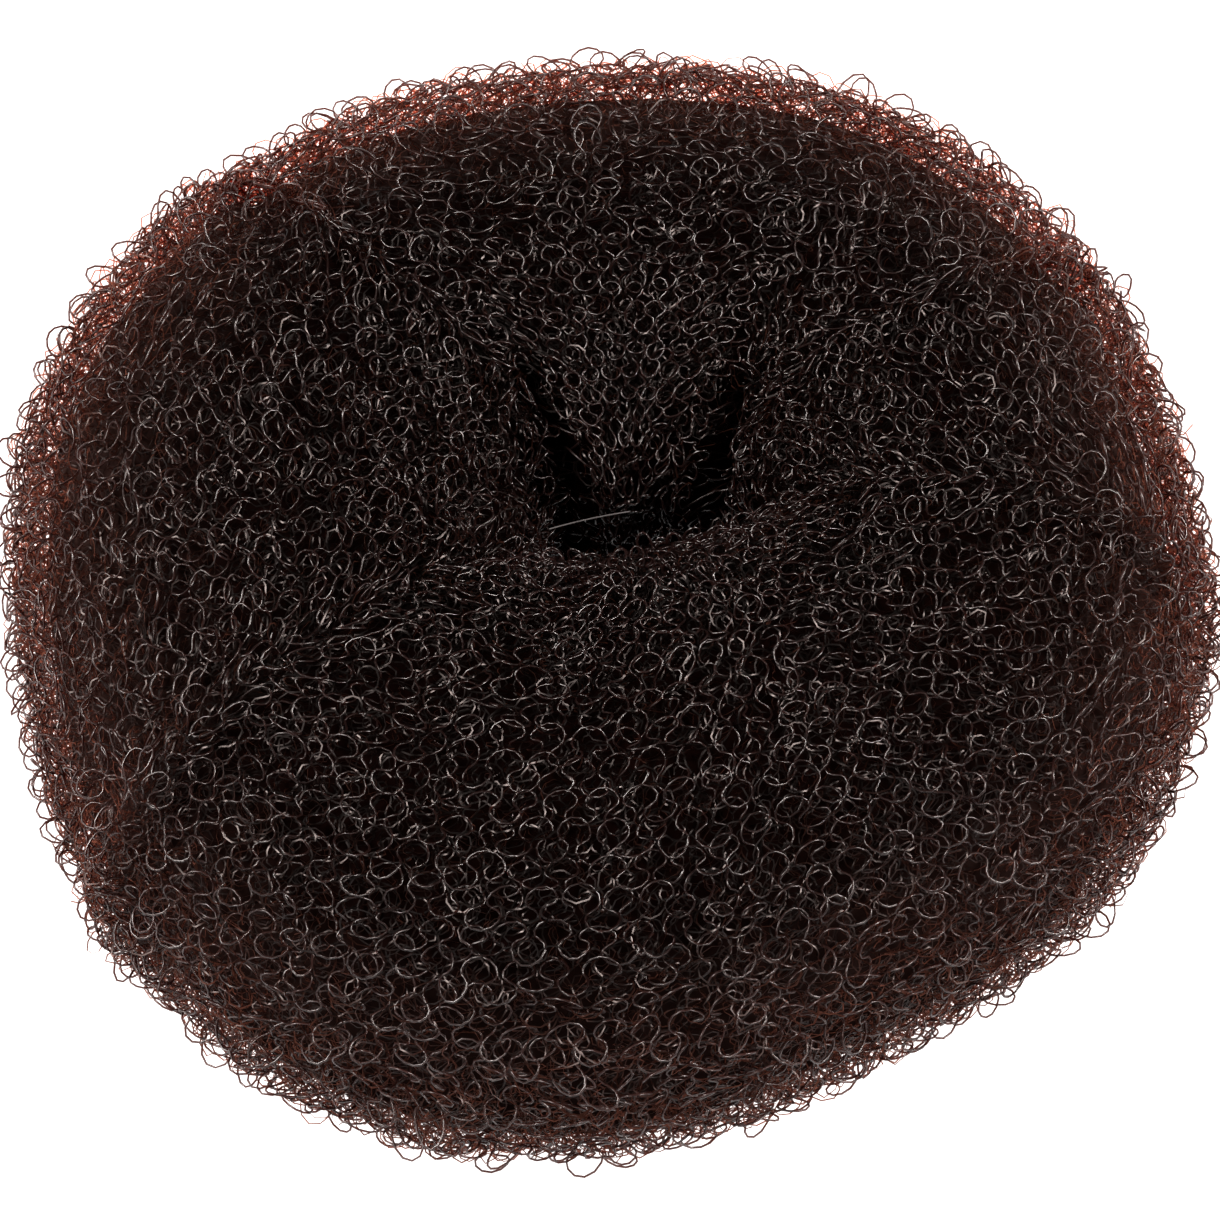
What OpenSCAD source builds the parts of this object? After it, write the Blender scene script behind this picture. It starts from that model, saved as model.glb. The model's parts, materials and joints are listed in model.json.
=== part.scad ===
// A hair donut: one sleeve of knitted nylon net, doubled and rolled up on itself into a ring.
// The wall of the sleeve winds inwards as a spiral, and the ring's hole is gathered by creases
// that part four lobes. The origin is under the middle of the ring, on the surface that it
// rests on. +Z is up, through the hole. Angles round the ring start at +X and turn towards +Y.

/* [Ring] */
// Outside diameter of the ring at its widest
ring_d = 91; // [75:1:120]
// Height of the ring as it rests
ring_h = 40; // [32:1:50]
// How far the soft roll is pressed flat where it rests
foot_press = 1.4; // [0.6:0.1:2.5]
// How square the outer half of the roll's section is, where 2 is an ellipse
squareness = 2.15; // [2:0.05:2.6]

/* [Hole] */
// Length of the slot that is left of the hole, from side to side
hole_l = 14; // [11:0.5:18]
// How far the slot stands open, from front to back
hole_gap = 5; // [5:0.2:9]
// How far the slot is turned from straight across, its right end to the back
hole_turn = 14; // [0:1:20]
// How far the middle of the slot lies to the right of the ring's middle
hole_x = 1.5; // [-3:0.5:5]
// How far the middle of the slot lies behind the ring's middle
hole_y = 5; // [-3:0.5:9]
// How square the half of the section is that presses on its neighbours at the hole
hole_squareness = 2.8; // [2:0.1:3.2]
// Depth of the deepest crease between two lobes
crease_depth = 5.2; // [3:0.2:6]

/* [Net] */
// Thickness of the doubled net in one turn of the roll
net_wall = 4.4; // [3.6:0.1:6]
// Air between one turn and the next
turn_gap = 0.6; // [0.5:0.05:1]
// Radius of the empty eye in the middle of the roll
eye_r = 2.6; // [2:0.1:4]
// Thickness of the sleeve's free edge, which lies against the roll underneath
edge_wall = 0.9; // [0.6:0.1:1.5]

/* [Hidden] */

ring_r = ring_d / 2;

// The ring's outline, height and hole, with a row for each crease and a few for each lobe.
// Columns: angle round the ring, outside radius as a share of ring_r, height as a share of
// ring_h, and where the roll ends at the hole, from the middle of the slot: along the slot as
// a share of hole_l / 2, and across it as a share of hole_gap / 2.
SECTIONS = [
    [ 20, 1.00, 0.98,  1.03, -0.45],
    [ 45, 1.05, 0.98,  1.00,  0.00],
    [ 66, 1.07, 0.96,  0.92,  0.50],
    [ 80, 1.06, 0.95,  0.68,  0.80],
    [ 98, 1.05, 0.95,  0.24,  1.00],
    [112, 1.06, 0.95, -0.24,  1.15],
    [125, 1.05, 0.96, -0.42,  2.20],
    [140, 1.07, 0.96, -0.76,  1.30],
    [160, 1.05, 0.98, -0.93,  0.30],
    [185, 0.98, 0.99, -1.00, -0.35],
    [213, 0.97, 1.00, -1.00, -0.95],
    [245, 0.95, 1.00, -0.52, -1.00],
    [275, 0.89, 1.00, -0.04, -1.00],
    [305, 0.85, 1.00,  0.44, -1.00],
    [330, 0.93, 0.99,  0.78, -1.00],
    [357, 0.98, 0.98,  1.00, -0.90]
];
ANGLE = 0;
OUTSIDE = 1;
HEIGHT = 2;
ALONG_HOLE = 3;
ACROSS_HOLE = 4;

// The creases that gather the hole. Columns: angle round the ring, depth as a share of
// crease_depth, half width, where on the roll it starts (90 is the top and 180 faces the
// hole), and how many sections the lobe after it has.
CREASES = [
    [ 66, 1.00, 12, 105, 10],
    [125, 0.50, 12, 100, 11],
    [213, 0.60, 12, 100, 14],
    [357, 0.50, 11, 100, 10]
];
DEPTH = 1;
SPREAD = 2;
START = 3;
SECTIONS_AFTER = 4;
// Over how much of the roll a crease comes up, and where it fades away underneath
crease_rise = 50;
crease_end = 280;
// How strongly the sections crowd together at the creases
crowding = 0.65;

// Points round each turn of the roll
points_in_turn = 20;
// Share of a turn over which each turn sinks under the one outside it, and where that begins
dive = 0.22;
dive_angle = 236;

function wrap(a) = (a % 360 + 360) % 360;
// A smooth rise from 0 to 1, and where it reaches a given height
function ramp(x) = let (t = min(1, max(0, x))) t * t * (3 - 2 * t);
function ramp_reaches(height) = 0.5 - sin(asin(1 - 2 * height) / 3);

// A column of SECTIONS at any angle round the ring, on a smooth closed curve through its rows
function row_before(a) =
    let (under = [for (i = [0 : len(SECTIONS) - 1]) if (SECTIONS[i][ANGLE] <= a) i])
    len(under) == 0 ? len(SECTIONS) - 1 : under[len(under) - 1];
function slope(column, i) =
    let (
        n = len(SECTIONS),
        before = SECTIONS[(i + n - 1) % n],
        after = SECTIONS[(i + 1) % n]
    )
    (after[column] - before[column]) / wrap(after[ANGLE] - before[ANGLE]);
function round_the_ring(column, angle) =
    let (
        a = wrap(angle),
        i = row_before(a),
        j = (i + 1) % len(SECTIONS),
        span = wrap(SECTIONS[j][ANGLE] - SECTIONS[i][ANGLE]),
        t = wrap(a - SECTIONS[i][ANGLE]) / span,
        t2 = t * t,
        t3 = t2 * t
    )
    (2 * t3 - 3 * t2 + 1) * SECTIONS[i][column] + (t3 - 2 * t2 + t) * span * slope(column, i)
    + (3 * t2 - 2 * t3) * SECTIONS[j][column] + (t3 - t2) * span * slope(column, j);

// The roll's pitch, and how many pitches fit between its outside and the eye
pitch = net_wall + turn_gap;
roll_r = min(ring_r - hole_l / 2, ring_h + foot_press) / 2;
full_turns = (roll_r + turn_gap - eye_r) / pitch;

// Depth of the sleeve's outer face below the roll's outside, in pitches, after t turns
function sunk(t) = t < 1 ? 0 : floor(t) - 1 + ramp((t - floor(t)) / dive);

// The free edge starts where the first turn is edge_wall thick, and the wall ends where the
// last turn comes down to the eye
edge_start = dive * ramp_reaches((edge_wall + turn_gap) / pitch);
turns = floor(full_turns) + dive * ramp_reaches(full_turns - floor(full_turns));
turn_steps = concat(
    [edge_start],
    [for (i = [floor(edge_start * points_in_turn) + 1 : round(turns * points_in_turn) - 1])
        i / points_in_turn],
    [turns]
);
last_step = len(turn_steps) - 1;

// How much of a crease there is at an angle on the roll: none outside, all of it at the hole
function reach(crease, around) =
    ramp((around - crease[START]) / crease_rise) * ramp((crease_end - around) / crease_rise);
// A crease is a sharp valley between two full lobes
function valley(crease, angle) =
    let (off = abs(wrap(angle - crease[ANGLE] + 180) - 180) / crease[SPREAD])
    off >= 1 ? 0 : pow(1 - off, 2);
function crease_at(angle, around) =
    max([for (c = CREASES) c[DEPTH] * valley(c, angle) * reach(c, around)]);

// How far the section's edge lies from its middle, as a share of its half width and height: a
// rounded square, cut level underneath at the share foot
function rim(around, foot) =
    let (
        n = cos(around) < 0 ? hole_squareness : squareness,
        rounded = pow(pow(abs(cos(around)), n) + pow(abs(sin(around)), n), -1 / n)
    )
    rounded * sin(around) < -foot ? -foot / sin(around) : rounded;

// A point of the roll: at an angle round the ring, an angle around the roll's section, and a
// share of the way out from the middle of the section. The section stands on a line from the
// hole's edge to the outside.
function turned(angle, along, across) =
    along * [cos(angle), sin(angle)] + across * [-sin(angle), cos(angle)];
function roll_point(angle, around, share) =
    let (
        outside = turned(angle, ring_r * round_the_ring(OUTSIDE, angle), 0),
        inside = [hole_x, hole_y] + turned(hole_turn,
            hole_l / 2 * round_the_ring(ALONG_HOLE, angle),
            hole_gap / 2 * round_the_ring(ACROSS_HOLE, angle)),
        half_h = (ring_h * round_the_ring(HEIGHT, angle) + foot_press) / 2,
        pinch = 1 - crease_at(angle, around) * crease_depth / roll_r,
        out = share * pinch * rim(around, 1 - foot_press / half_h),
        place = (outside + inside) / 2 + out * cos(around) * (outside - inside) / 2
    )
    [place.x, place.y, half_h - foot_press + out * half_h * sin(around)];

// The two faces of the sleeve's wall, from the free edge to the end in the eye
function outer_face(angle, t) =
    roll_point(angle, wrap(dive_angle + 360 * t), 1 - pitch * sunk(t) / roll_r);
function inner_face(angle, t) =
    roll_point(angle, wrap(dive_angle + 360 * t),
        1 - (pitch * sunk(t + 1) - turn_gap) / roll_r);

section_angles = [for (k = [0 : len(CREASES) - 1])
    let (
        n = CREASES[k][SECTIONS_AFTER],
        span = wrap(CREASES[(k + 1) % len(CREASES)][ANGLE] - CREASES[k][ANGLE])
    )
    for (i = [0 : n - 1])
        CREASES[k][ANGLE] + span * (i / n - crowding * sin(360 * i / n) / (2 * PI))];
n_sections = len(section_angles);
n_loop = 2 * len(turn_steps);

net_points = [for (a = section_angles) each concat(
    [for (t = turn_steps) outer_face(a, t)],
    [for (i = [last_step : -1 : 0]) inner_face(a, turn_steps[i])]
)];
middle = [
    (max([for (p = net_points) p.x]) + min([for (p = net_points) p.x])) / 2,
    (max([for (p = net_points) p.y]) + min([for (p = net_points) p.y])) / 2,
    0
];

function at(section, i) = (section % n_sections) * n_loop + i % n_loop;
// The two triangles between a pair of points and the same pair in the next section. The cut
// runs the other way on the inner face, so that the faces of two turns stay side by side.
function tile(s, i) = i < last_step
    ? [[at(s, i), at(s, i + 1), at(s + 1, i + 1)], [at(s, i), at(s + 1, i + 1), at(s + 1, i)]]
    : [[at(s, i), at(s, i + 1), at(s + 1, i)], [at(s, i + 1), at(s + 1, i + 1), at(s + 1, i)]];

module rolled_net() {
    color([0.16, 0.07, 0.06])
        polyhedron(
            points = [for (p = net_points) p - middle],
            faces = [for (s = [0 : n_sections - 1]) for (i = [0 : n_loop - 1]) each tile(s, i)]
        );
}

rolled_net();
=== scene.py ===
import json
import math

import bpy
import numpy as np
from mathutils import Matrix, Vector
from mathutils.bvhtree import BVHTree


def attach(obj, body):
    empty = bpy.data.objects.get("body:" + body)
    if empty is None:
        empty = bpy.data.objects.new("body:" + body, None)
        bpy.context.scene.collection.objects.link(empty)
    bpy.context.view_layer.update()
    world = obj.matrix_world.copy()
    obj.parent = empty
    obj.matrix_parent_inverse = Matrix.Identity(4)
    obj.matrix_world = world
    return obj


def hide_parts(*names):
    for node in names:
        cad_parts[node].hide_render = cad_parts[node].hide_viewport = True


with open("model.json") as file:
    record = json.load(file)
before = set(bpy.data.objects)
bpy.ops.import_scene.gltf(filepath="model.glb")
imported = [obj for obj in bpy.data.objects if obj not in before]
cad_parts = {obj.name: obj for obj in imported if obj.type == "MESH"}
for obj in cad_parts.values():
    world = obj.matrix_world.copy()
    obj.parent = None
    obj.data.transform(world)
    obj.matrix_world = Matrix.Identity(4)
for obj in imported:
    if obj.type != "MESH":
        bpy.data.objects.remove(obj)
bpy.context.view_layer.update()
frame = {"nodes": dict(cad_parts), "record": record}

# The camera. It looks down on the ring from the front at the angle of a picture taken by hand
# over a table, from half a metre away.
MM = 0.001
picture_side = 1220
sensor_width = 36
camera_tilt = math.radians(60)
camera_away = 0.5
camera_sees = 91.05 * MM
aim = Vector((0, 0, 20 * MM))
aim_pixel = (608, 588)

camera_data = bpy.data.cameras.new("camera")
camera_data.sensor_width = sensor_width
camera_data.lens = sensor_width * camera_away / camera_sees
camera = bpy.data.objects.new("camera", camera_data)
bpy.context.collection.objects.link(camera)
back = Vector((0, -math.cos(camera_tilt), math.sin(camera_tilt)))
camera.rotation_mode = "QUATERNION"
camera.rotation_quaternion = (-back).to_track_quat("-Z", "Y")
camera.location = aim + back * camera_away
camera_data.shift_x = 0.5 - aim_pixel[0] / picture_side
camera_data.shift_y = aim_pixel[1] / picture_side - 0.5
bpy.context.scene.camera = camera

# The roll. The net is a knitted sleeve that is rolled up on itself into a ring, and its outside
# is read off the solid: across from the middle of the hole, and all round the roll's section.
ring_steps = 360
roll_steps = 240
section_height = 19.5 * MM
far_off = 70 * MM
reading_blur = 1.4

mounts = {mount["name"]: mount for mount in frame["record"]["mounts"]}
hole = Vector(mounts["ponytail_hole"]["pos_m"])
hole.z = section_height
net_solid = frame["nodes"]["rolled_net"].data
solid = BVHTree.FromPolygons(
    [corner.co for corner in net_solid.vertices], [face.vertices[:] for face in net_solid.polygons]
)


def first_hit(start, toward):
    return (solid.ray_cast(start, toward)[0] - start).length


def blurred(field, along_ring, along_roll):
    """The field, smoothed over that many steps each way. It closes on itself both ways."""
    waves_along, waves_around = (np.fft.fftfreq(steps) for steps in field.shape[:2])
    fade = np.exp(-2 * math.pi**2 * (
        (waves_along[:, None] * along_ring) ** 2 + (waves_around[None, :] * along_roll) ** 2))
    if field.ndim == 3:
        fade = fade[:, :, None]
    return np.fft.ifft2(np.fft.fft2(field, axes=(0, 1)) * fade, axes=(0, 1)).real


middles = np.zeros((ring_steps, 3))
outward = np.zeros((ring_steps, 3))
reach = np.zeros((ring_steps, roll_steps))
for i in range(ring_steps):
    turn = 2 * math.pi * i / ring_steps
    out = Vector((math.cos(turn), math.sin(turn), 0))
    inner = first_hit(hole, out)
    outer = far_off - first_hit(hole + far_off * out, -out)
    middle = hole + out * (inner + outer) / 2
    middles[i], outward[i] = middle, out
    for j in range(roll_steps):
        around = 2 * math.pi * j / roll_steps
        beam = math.cos(around) * out + math.sin(around) * Vector((0, 0, 1))
        away = far_off
        if math.cos(around) < 0:
            away = min(far_off, (inner + outer) / 2 / -math.cos(around))
        reach[i, j] = away - first_hit(middle + away * beam, -beam)
reach = blurred(reach, reading_blur, reading_blur)

# The net bridges shallow valleys, and only sinks into the deep creases at the hole.
lobe_blur = (9, 3)
bridged_valley = 0.9 * MM
bridged_share = 0.75
valleys = np.clip(blurred(reach, *lobe_blur) - reach, 0, None)
shallow = np.clip(2 - valleys / bridged_valley, 0, 1)
reach += bridged_share * shallow * valleys

angles = 2 * math.pi * np.arange(roll_steps) / roll_steps
beams = (np.cos(angles)[None, :, None] * outward[:, None, :]
         + np.sin(angles)[None, :, None] * np.array([0, 0, 1]))


def evenly_spaced(lines):
    """Each closed line of points, spaced anew at equal distances along it."""
    closed = np.concatenate([lines, lines[:, :1]], axis=1)
    steps = np.linalg.norm(np.diff(closed, axis=1), axis=2)
    place = np.concatenate([np.zeros((len(lines), 1)), np.cumsum(steps, axis=1)], axis=1)
    n = lines.shape[1]
    return np.array([
        [np.interp(np.arange(n) / n * p[-1], p, line[:, k]) for k in range(3)]
        for p, line in zip(place, closed)
    ]).transpose(0, 2, 1)


def surface_at(depth):
    """The roll's surface at a depth below its outside, as a grid of points even both ways.

    The grid's second way starts underneath and comes up on the outside.
    """
    points = middles[:, None, :] + beams * (reach - depth)[:, :, None]
    underneath = roll_steps * 3 // 4
    points = evenly_spaced(np.roll(points, -underneath, axis=1))
    crest = points[:, roll_steps // 2]
    closed = np.concatenate([crest, crest[:1]])
    place = np.concatenate([[0], np.cumsum(np.linalg.norm(np.diff(closed, axis=0), axis=1))])
    wanted = np.interp(np.arange(ring_steps) / ring_steps * place[-1], place,
                       np.arange(ring_steps + 1))
    low = np.floor(wanted).astype(int)
    part = (wanted - low)[:, None, None]
    return points[low % ring_steps] * (1 - part) + points[(low + 1) % ring_steps] * part


def sampled(field, u, v):
    """The field between its grid points, where u goes once round the ring and v round the roll."""
    x, y = u % 1 * ring_steps, v % 1 * roll_steps
    i, j = np.floor(x).astype(int), np.floor(y).astype(int)
    s, t = (x - i)[..., None], (y - j)[..., None]
    i, j, i1, j1 = i % ring_steps, j % roll_steps, (i + 1) % ring_steps, (j + 1) % roll_steps
    return ((field[i, j] * (1 - s) + field[i1, j] * s) * (1 - t)
            + (field[i, j1] * (1 - s) + field[i1, j1] * s) * t)


# The net. One nylon filament a fifth of a millimetre thick is knitted round the sleeve in courses
# of loops. It is springy, so the loops tilt and curl every way. The doubled sleeve and the turns
# under it show through each other, and the table's light on the sides is painted in as a brown
# glow.
filament_r = 0.1 * MM
strip_r = 0.06 * MM
floor_gap = 0.02 * MM

nylon_body = (0.002, 0.0005, 0.0004, 1)
nylon_body_light = (0.008, 0.0022, 0.0016, 1)
# A painted brown glow of the table's light, blended into the filament's colour on the flanks.
nylon_flank_painted_glow = (0.042, 0.015, 0.0118, 1)
nylon_seen_through = (0.8, 0.4, 0.33, 1)
nylon_ior = 1.53
nylon_clearness = 0.28
deep_sheen = (0.015, 0.013, 0.0125, 1)
deep_glow = (0.66, 0.235, 0.155, 1)
deep_seen_through = (0.58, 0.21, 0.14, 1)
glow_anywhere = 0.035
glow_on_flank = 0.33
clearness_on_flank = 1.45
filament_patches = 900.0


class Wire:
    """A value, colour or vector in a material's nodes, so that shader maths reads as sums."""

    def __init__(self, tree, socket=None):
        self.tree = tree
        self.socket = socket

    def node(self, kind, settings=None, inputs=None, output=0):
        node = self.tree.nodes.new(kind)
        for name, value in (settings or {}).items():
            if name == "stops":
                ramp = node.color_ramp.elements
                while len(ramp) < len(value):
                    ramp.new(1)
                for stop, (at, colour) in zip(ramp, value):
                    stop.position = at
                    stop.color = colour
            else:
                setattr(node, name, value)
        for name, value in (inputs or {}).items():
            if isinstance(value, Wire):
                self.tree.links.new(value.socket, node.inputs[name])
            else:
                node.inputs[name].default_value = value
        return Wire(self.tree, node.outputs[output] if node.outputs else None)

    def maths(self, operation, other):
        return self.node("ShaderNodeMath", {"operation": operation}, {0: self, 1: other})

    def __add__(self, other):
        return self.maths("ADD", other)

    def __mul__(self, other):
        return self.maths("MULTIPLY", other)

    __radd__ = __add__
    __rmul__ = __mul__


def new_material(name):
    material = bpy.data.materials.new(name)
    material.use_nodes = True
    material.node_tree.nodes.clear()
    return material, Wire(material.node_tree)


def noise_over(wire, scale):
    """Soft noise over the piece, from 0 to 1, with that many patches to the metre."""
    place = wire.node("ShaderNodeTexCoord", output="Object")
    return wire.node("ShaderNodeTexNoise", {}, {"Vector": place, "Scale": scale, "Detail": 1.0})


def painted_light_there(wire):
    """The painted table light at each point of the piece."""
    return wire.node("ShaderNodeAttribute", {"attribute_name": "table_light"}, output="Fac")


def blend_of(wire, share, colour, other):
    return wire.node("ShaderNodeMix", {"data_type": "RGBA"},
                     {"Factor": share, "A": colour, "B": other}, output="Result")


nylon, wire = new_material("dark_nylon_filament")
patches = noise_over(wire, filament_patches)
body_colour = blend_of(wire, patches, nylon_body, nylon_body_light)
# On the flanks the colour is blended toward a painted brown glow of the table's light.
painted_lit_colour = blend_of(wire, painted_light_there(wire), body_colour, nylon_flank_painted_glow)
gloss = wire.node(
    "ShaderNodeBsdfPrincipled", {},
    {"Base Color": painted_lit_colour, "Roughness": 0.29 + 0.1 * patches, "IOR": nylon_ior,
     "Specular IOR Level": 0.47})
through = wire.node("ShaderNodeBsdfTransparent", {}, {"Color": nylon_seen_through})
mixed = wire.node("ShaderNodeMixShader", {}, {0: nylon_clearness, 1: gloss, 2: through})
wire.node("ShaderNodeOutputMaterial", {}, {"Surface": mixed})

# On the flanks the painted table light raises how much the strips that stand for the deeper
# filament glow and let light through.
deep_nylon, wire = new_material("dark_nylon_filament_deep")
patches = noise_over(wire, filament_patches)
painted_soak = painted_light_there(wire)
satin = wire.node(
    "ShaderNodeBsdfPrincipled", {},
    {"Base Color": deep_sheen, "Roughness": 0.3 + 0.1 * patches, "Metallic": 1.0})
glow = wire.node("ShaderNodeBsdfTranslucent", {}, {"Color": deep_glow})
lit = wire.node("ShaderNodeMixShader", {},
                {0: glow_anywhere + glow_on_flank * painted_soak, 1: satin, 2: glow})
through = wire.node("ShaderNodeBsdfTransparent", {}, {"Color": deep_seen_through})
mixed = wire.node("ShaderNodeMixShader", {},
                  {0: painted_soak * (clearness_on_flank * patches), 1: lit, 2: through})
wire.node("ShaderNodeOutputMaterial", {}, {"Surface": mixed})


def unit(vectors):
    return vectors / np.maximum(np.linalg.norm(vectors, axis=-1, keepdims=True), 1e-12)


def dot(a, b):
    return (a * b).sum(axis=-1, keepdims=True)


def change(points, way):
    """How far the points move on in two steps, one way along a grid that closes on itself."""
    return np.roll(points, -1, axis=way) - np.roll(points, 1, axis=way)


# The painted table light: its belt, how sharply it ends outside, and its painted shade low down.
belt_tilt = math.radians(24)
belt_narrowing = 1.5
outside_edge = 4
shade_low = 2 * MM
shade_high = 30 * MM
shade_least = 0.48
shade_fall = 2
light_strength = 1.6


def table_light(facing, points):
    """Painted table light: how much is painted into the net, where a shader takes 1 and over as
    all.

    The most is in a belt round the outside, tilted to the front. Less is low down, a painted shade
    where the ring shades the table, and none on the crest, underneath and in the hole.
    """
    axis = np.array([0, -math.sin(belt_tilt), math.cos(belt_tilt)])
    belt = np.clip(1 - np.abs(dot(facing, axis)), 0, 1) ** belt_narrowing
    outside = np.clip(outside_edge * dot(facing, unit(points * np.array([1, 1, 0]))), 0, 1)
    height = (points[..., 2:] - shade_low) / (shade_high - shade_low)
    shade = light_strength * np.clip(height, shade_least, 1) ** shade_fall
    return (belt * outside * shade)[..., 0]


def store_painted_light(mesh, light):
    mesh.attributes.new("table_light", "FLOAT", "POINT").data.foreach_set(
        "value", light.astype(np.float32).ravel())


def net_piece(name, mesh, finish):
    """A piece of the net in the scene, which rides with the ring."""
    mesh.materials.append(finish)
    piece = bpy.data.objects.new(name, mesh)
    bpy.context.collection.objects.link(piece)
    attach(piece, "root")
    return piece


normal_blur = 1.5
full_length = 150 * MM
least_gather = 0.75
course_share = 0.85
course_stagger = 0.62
open_length = 80 * MM
open_height = 3 * MM
loop_roundness = 0.2
flank_bristle = 0.45


class Knit:
    """One layer of net: its courses lie one above the other round the roll, end to end in a list.

    The loops are a pitch apart along their course, and the courses a little closer. Both draw in
    where the net is gathered to the hole. A layer that is only made in the open leaves out the
    short courses at the hole and those underneath, which don't show.
    """

    def __init__(self, depth, pitch, steps, seed, in_the_open=False):
        self.rng = np.random.default_rng(seed)
        self.steps = steps
        self.skin = surface_at(depth)
        self.along = change(self.skin, 0) * ring_steps / 2
        self.around = change(self.skin, 1) * roll_steps / 2
        self.normal = blurred(unit(np.cross(self.along, self.around)), normal_blur, normal_blur)
        length = np.linalg.norm(self.along, axis=-1).mean(axis=0)
        girth = np.linalg.norm(self.around, axis=-1).mean(axis=0)
        pitches = pitch * np.clip(length / full_length, least_gather, 1)
        spacing = course_share * pitches
        passed = np.concatenate([[0], np.cumsum(girth / roll_steps / spacing)])
        courses = round(passed[-1])
        rows = np.interp((np.arange(courses) + 0.5) / courses * passed[-1], passed,
                         np.arange(roll_steps + 1) / roll_steps)
        at_row = np.minimum((rows * roll_steps).astype(int), roll_steps - 1)
        if in_the_open:
            height = self.skin[:, at_row, 2].mean(axis=0)
            kept = (length[at_row] > open_length) & (height > open_height)
            rows, at_row = rows[kept], at_row[kept]
        loops = np.round(length[at_row] / pitches[at_row]).astype(int)
        self.first = np.concatenate([[0], np.cumsum(loops)])
        self.row = np.repeat(rows, loops)
        self.pitch = np.repeat(length[at_row] / loops, loops)
        self.count = np.repeat(loops, loops)
        self.place = np.arange(self.first[-1]) - np.repeat(self.first[:-1], loops)
        self.offset = np.repeat(course_stagger * np.arange(len(rows)) % 1, loops)
        self.next_loop = np.where(self.place + 1 < self.count, np.arange(self.first[-1]) + 1,
                                  np.arange(self.first[-1]) + 1 - self.count)

    def eased(self, values):
        """A value for each loop, eased from one loop to the next."""
        t = np.arange(self.steps) / self.steps
        ease = t * t * (3 - 2 * t)
        return (values[:, None] * (1 - ease) + values[self.next_loop][:, None] * ease).ravel()

    def random(self, low, high):
        return self.eased(self.rng.uniform(low, high, self.first[-1]))

    def wander(self, size):
        return self.eased(self.rng.normal(0, size, self.first[-1]))

    def lines(self, stray, tilt, bulk, wide, neck, tall, twist=0.0):
        """The filament's points, the two directions across it, the next points, and the painted
        light.

        In pitches: how far loops stray from their places and how far they wind through the net,
        and the least and most of their half width, of how much narrower they are at the neck than
        at the head, and of their half height. The tilt out of the net is the most, and the
        filament's twist the usual, in radians.
        """
        t = np.arange(self.steps) / self.steps
        whole = (self.place[:, None] + t).ravel()
        count = np.repeat(self.count, self.steps)
        pitch = self.eased(self.pitch)
        row = np.repeat(self.row, self.steps)
        offset = np.repeat(self.offset, self.steps)
        u = (whole + offset + self.wander(stray)) / count
        girth = np.linalg.norm(sampled(self.around, u, row), axis=-1)
        v = row + self.wander(stray) * pitch / girth
        point = sampled(self.skin, u, v)
        e_u, e_v = unit(sampled(self.along, u, v)), unit(sampled(self.around, u, v))
        e_n = unit(sampled(self.normal, u, v))
        stretch = np.linalg.norm(sampled(self.along, u, v), axis=-1) / count / pitch
        phase = 2 * math.pi * whole + self.wander(2 * stray)
        drawn_in = pitch * np.minimum(stretch, 1)
        half_width, waist = drawn_in * self.random(*wide), drawn_in * self.random(*neck)
        sideways = half_width * np.sin(phase) + waist * np.sin(2 * phase)
        half_height = pitch * self.random(*tall)
        # The painted table light, which also makes the loops lean out more on the flanks.
        light = table_light(e_n, point)
        lean = (self.random(-tilt, tilt) * (1 + flank_bristle * light))[:, None]
        roll = self.random(-tilt / 2, tilt / 2)[:, None]
        sine = np.cos(roll) * e_u + np.sin(roll) * e_n
        cosine = half_height[:, None] * (np.sin(lean) * e_n - np.cos(lean) * e_v)
        upwards = np.cos(phase) + loop_roundness * np.cos(3 * phase)
        depth = pitch * (self.wander(bulk) + self.wander(bulk) * np.sin(2 * phase)
                         + self.wander(bulk) * np.cos(2 * phase))
        line = (point + sideways[:, None] * sine + upwards[:, None] * cosine
                + depth[:, None] * e_n)
        number = np.arange(len(line)).reshape(-1, self.steps)
        after = np.concatenate([number[:, 1:], number[self.next_loop][:, :1]], axis=1).ravel()
        before = np.empty_like(after)
        before[after] = np.arange(len(after))
        ahead = unit(line[after] - line[before])
        across = np.cross(cosine, sine)
        across = unit(across - dot(across, ahead) * ahead)
        up = np.cross(ahead, across)
        turned = self.wander(twist)[:, None]
        return (line, np.cos(turned) * across + np.sin(turned) * up,
                np.cos(turned) * up - np.sin(turned) * across, after, light)


def filament_mesh(name, knit, shape, first_course, end_course, radius, sides):
    """One mesh of closed tubes, one along each course from the first to before the end.

    With two sides the filament is a flat strip that lies in the loops.
    """
    start, end = (knit.first[k] * knit.steps for k in (first_course, end_course))
    line, across, up, after, light = (part[start:end] for part in shape)
    turn = 2 * math.pi * (np.arange(sides) / sides + 1 / 4)
    rings = line[:, None] + radius * (
        across[:, None] * np.cos(turn)[:, None] + up[:, None] * np.sin(turn)[:, None])
    corners = rings.reshape(-1, 3)
    corners[:, 2] = np.maximum(corners[:, 2], floor_gap)
    number = np.arange(len(corners)).reshape(-1, sides)
    onward = number[after - start]
    quads = np.stack([number, np.roll(number, -1, axis=1), np.roll(onward, -1, axis=1), onward],
                     axis=-1)
    quads = quads[:, :1 if sides == 2 else sides].reshape(-1, 4)
    mesh = bpy.data.meshes.new(name)
    mesh.vertices.add(len(corners))
    mesh.vertices.foreach_set("co", corners.astype(np.float32).ravel())
    mesh.loops.add(quads.size)
    mesh.loops.foreach_set("vertex_index", quads.astype(np.int32).ravel())
    mesh.polygons.add(len(quads))
    mesh.polygons.foreach_set("loop_start", np.arange(0, quads.size, 4, dtype=np.int32))
    mesh.update(calc_edges=True)
    mesh.shade_smooth()
    store_painted_light(mesh, np.repeat(light, sides))
    return mesh


# The outer face of the sleeve, whose courses are shared between three pieces round the roll.
loop_pitch = 2.7 * MM
outer_depth = 0.6 * MM
outer_pieces = ["outer_face_outside", "outer_face_top", "outer_face_hole_side"]

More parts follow.
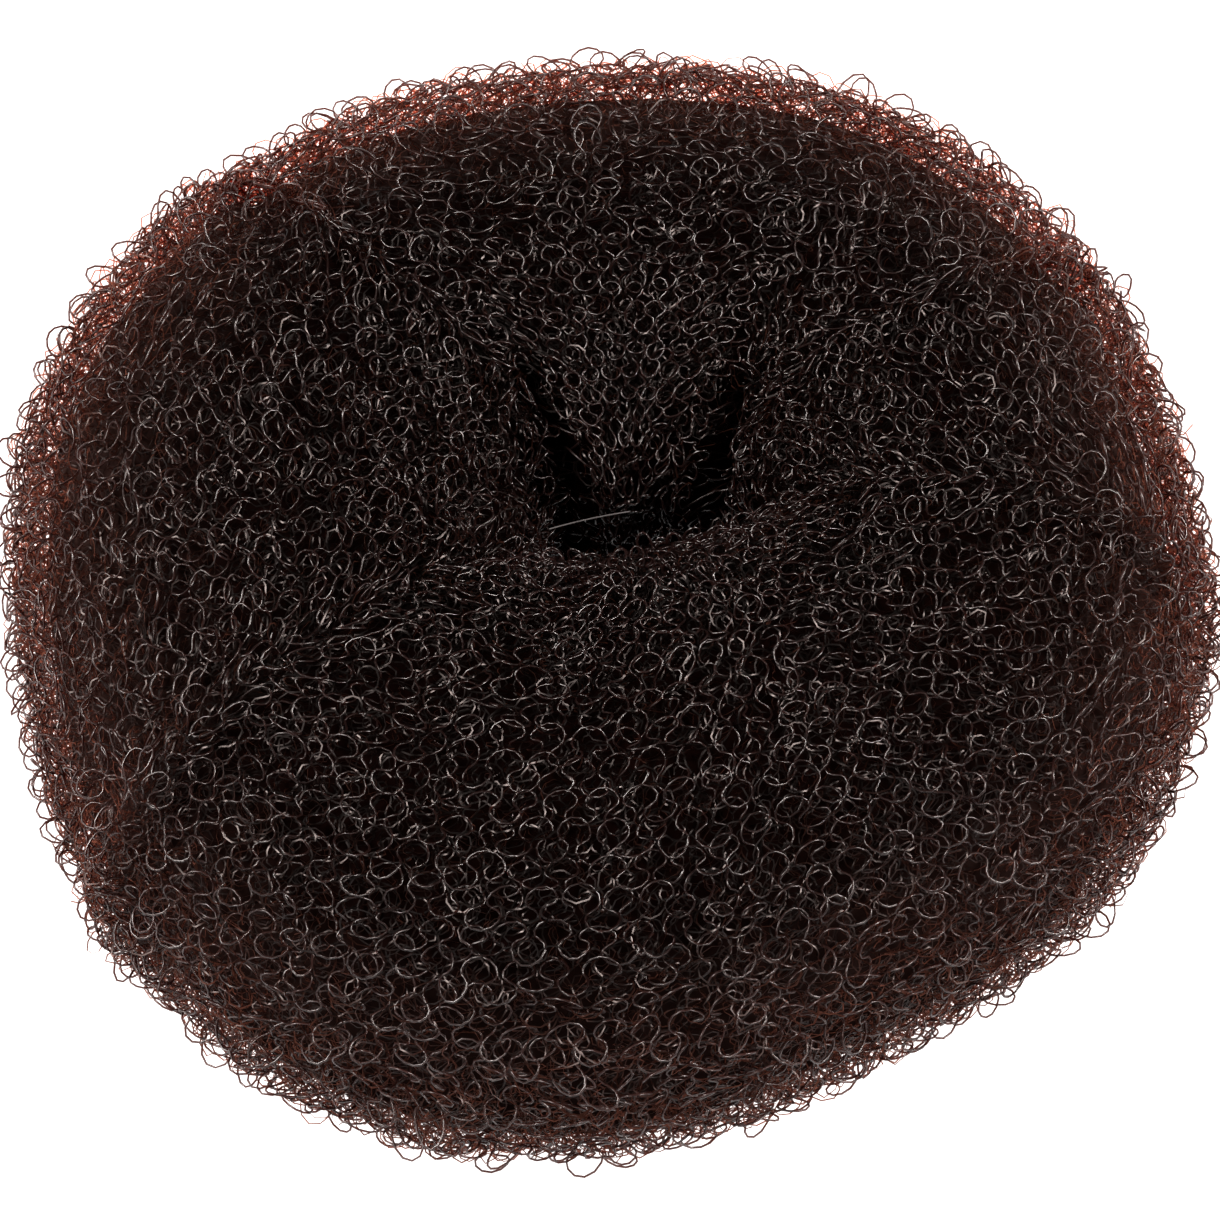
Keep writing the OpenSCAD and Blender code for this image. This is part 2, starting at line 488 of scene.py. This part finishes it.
knit = Knit(outer_depth, loop_pitch, steps=19, seed=11)
shape = knit.lines(stray=0.1, tilt=1.0, bulk=0.08, wide=(-0.05, 0.05), neck=(0.24, 0.36),
                   tall=(0.4, 0.6))
shares = np.searchsorted(knit.first, np.linspace(0, knit.first[-1], len(outer_pieces) + 1))
for name, first_course, end_course in zip(outer_pieces, shares[:-1], shares[1:]):
    net_piece(name, filament_mesh(name, knit, shape, first_course, end_course, filament_r, 3),
              nylon)

# The sleeve's inner face and the turns under it, with their depths in millimetres. They are
# pressed together, so their loops are a little smaller, and stray and twist more.
deep_pitch = 0.95 * loop_pitch
deep_layers = [("inner_face", 0.9, 12), ("second_turn_face", 1.2, 13),
               ("second_turn_back", 1.5, 14), ("third_turn_face", 1.9, 15),
               ("third_turn_back", 2.5, 16)]

for name, depth, seed in deep_layers:
    knit = Knit(depth * MM, deep_pitch, steps=14, seed=seed, in_the_open=name != "inner_face")
    shape = knit.lines(stray=0.25, tilt=1.1, bulk=0.08, wide=(0.0, 0.12), neck=(0.2, 0.32),
                       tall=(0.38, 0.56), twist=0.7)
    net_piece(name, filament_mesh(name, knit, shape, 0, len(knit.first) - 1, strip_r, 2),
              deep_nylon)

# The turns underneath. Deeper in the roll the net lies turn on turn until nothing shows through
# it, so it is a dark padded body, with a painted brown glow of the table's light on the flanks. It
# is pressed flat underneath, where it comes close to the net's outside.
core_depth = 3.1 * MM
core_step = 3
press_steepness = 1.6
press_start = 0.3
pressed_share = 0.7
packed_dark = (0.0005, 0.0002, 0.0002, 1)
packed_crossing = (0.003, 0.001, 0.0008, 1)
# A painted brown glow of the table's light, blended into the core on the flanks.
packed_flank_painted_glow = (0.022, 0.0125, 0.0108, 1)
packed_patches = 1500.0

packed, wire = new_material("packed_filament")
speckle = blend_of(wire, noise_over(wire, packed_patches), packed_dark, packed_crossing)
strands = wire.node(
    "ShaderNodeBsdfPrincipled", {},
    {"Base Color": blend_of(wire, painted_light_there(wire), speckle, packed_flank_painted_glow), "Roughness": 0.6,
     "Specular IOR Level": 0.0})
wire.node("ShaderNodeOutputMaterial", {}, {"Surface": strands})

pressed = np.clip(-press_steepness * np.sin(angles) - press_start, 0, 1)
points = surface_at(core_depth * (1 - pressed_share * pressed))[::core_step, ::core_step]
number = np.arange(points[..., 0].size).reshape(points.shape[:2])
onward = np.roll(number, -1, axis=0)
quads = np.stack([number, onward, np.roll(onward, -1, axis=1), np.roll(number, -1, axis=1)],
                 axis=-1)
core_mesh = bpy.data.meshes.new("packed_turns")
core_mesh.from_pydata(points.reshape(-1, 3).tolist(), [], quads.reshape(-1, 4).tolist())
core_mesh.shade_smooth()
store_painted_light(core_mesh, table_light(unit(np.cross(change(points, 0), change(points, 1))), points))
core = net_piece("packed_turns", core_mesh, packed)
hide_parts("rolled_net")

# The loose end. One end of the filament has come out of the knit and lies across the hole. It is
# drawn thinner than the knit's own filament, and smooth, and its colour is a paler grey than the
# knit's, a painted sheen, so it shows as one fine pale line.
loose_points = [(-4.3, -1.5, 31.2), (-2.4, -1.1, 31.6), (-0.4, -0.7, 31.8), (1.6, -0.3, 31.7)]
loose_r = 0.6 * filament_r
# The pale grey of the loose end is a painted sheen on the dark nylon.
loose_painted_sheen = (0.03, 0.027, 0.027, 1)
loose_wear = 700.0

loose, wire = new_material("loose_filament")
smooth = wire.node(
    "ShaderNodeBsdfPrincipled", {},
    {"Base Color": loose_painted_sheen, "Roughness": 0.35 + 0.2 * noise_over(wire, loose_wear),
     "IOR": nylon_ior})
wire.node("ShaderNodeOutputMaterial", {}, {"Surface": smooth})

end_curve = bpy.data.curves.new("loose_end", "CURVE")
end_curve.dimensions = "3D"
end_curve.bevel_depth = loose_r
end_curve.bevel_resolution = 1
end_line = end_curve.splines.new("NURBS")
end_line.points.add(len(loose_points) - 1)
for spot, point in zip(end_line.points, loose_points):
    spot.co = (*(Vector(point) * MM), 1)
end_line.use_endpoint_u = True
end_line.order_u = 4
drawn = bpy.data.objects.new("loose_end_curve", end_curve)
bpy.context.collection.objects.link(drawn)
loose_mesh = bpy.data.meshes.new_from_object(drawn)
bpy.data.objects.remove(drawn)
loose_mesh.materials.clear()
net_piece("loose_end", loose_mesh, loose)

# The table and the light. The ring lies on a white table that is lit evenly up to the horizon,
# in a dark room, between two soft boxes, one high on each side.
table_reach = 4
table_white = (0.2, 0.2, 0.2, 1)
table_glow = 1.3
white_haze = (1, 1, 1, 1)
haze_top = 0.02
dark_room = (0.01, 0.01, 0.01, 1)
dark_from = 0.08
box_side = 0.24
box_colour = (1, 0.93, 0.89)

floor_mesh = bpy.data.meshes.new("floor")
floor_mesh.from_pydata(
    [(x * table_reach, y * table_reach, 0) for x, y in [(-1, -1), (1, -1), (1, 1), (-1, 1)]],
    [], [(0, 1, 2, 3)])
white, wire = new_material("white_table")
table_top = wire.node(
    "ShaderNodeBsdfPrincipled", {},
    {"Base Color": table_white, "Roughness": 0.9, "Specular IOR Level": 0.0,
     "Emission Color": (1, 1, 1, 1), "Emission Strength": table_glow})
wire.node("ShaderNodeOutputMaterial", {}, {"Surface": table_top})
floor_mesh.materials.append(white)
floor = bpy.data.objects.new("floor", floor_mesh)
bpy.context.collection.objects.link(floor)

world = bpy.data.worlds.new("room")
bpy.context.scene.world = world
world.use_nodes = True
world.node_tree.nodes.clear()
wire = Wire(world.node_tree)
upward = wire.node("ShaderNodeSeparateXYZ", {},
                   {"Vector": wire.node("ShaderNodeTexCoord", output="Generated")}, output="Z")
sky = wire.node("ShaderNodeValToRGB",
                {"stops": [(0.0, white_haze), (haze_top, white_haze), (dark_from, dark_room)]},
                {"Fac": upward})
wire.node("ShaderNodeOutputWorld", {},
          {"Surface": wire.node("ShaderNodeBackground", {}, {"Color": sky, "Strength": 1.0})})


def soft_box(name, place, power):
    light = bpy.data.lights.new(name, "AREA")
    light.shape = "SQUARE"
    light.size = box_side
    light.energy = power
    light.color = box_colour
    box = bpy.data.objects.new(name, light)
    bpy.context.collection.objects.link(box)
    box.location = place
    box.rotation_mode = "QUATERNION"
    box.rotation_quaternion = (aim - Vector(place)).to_track_quat("-Z", "Y")


soft_box("key_light", (-0.74, -0.08, 0.74), 31)
soft_box("fill_light", (0.74, -0.12, 0.72), 28)
bpy.context.scene.view_settings.view_transform = "Standard"
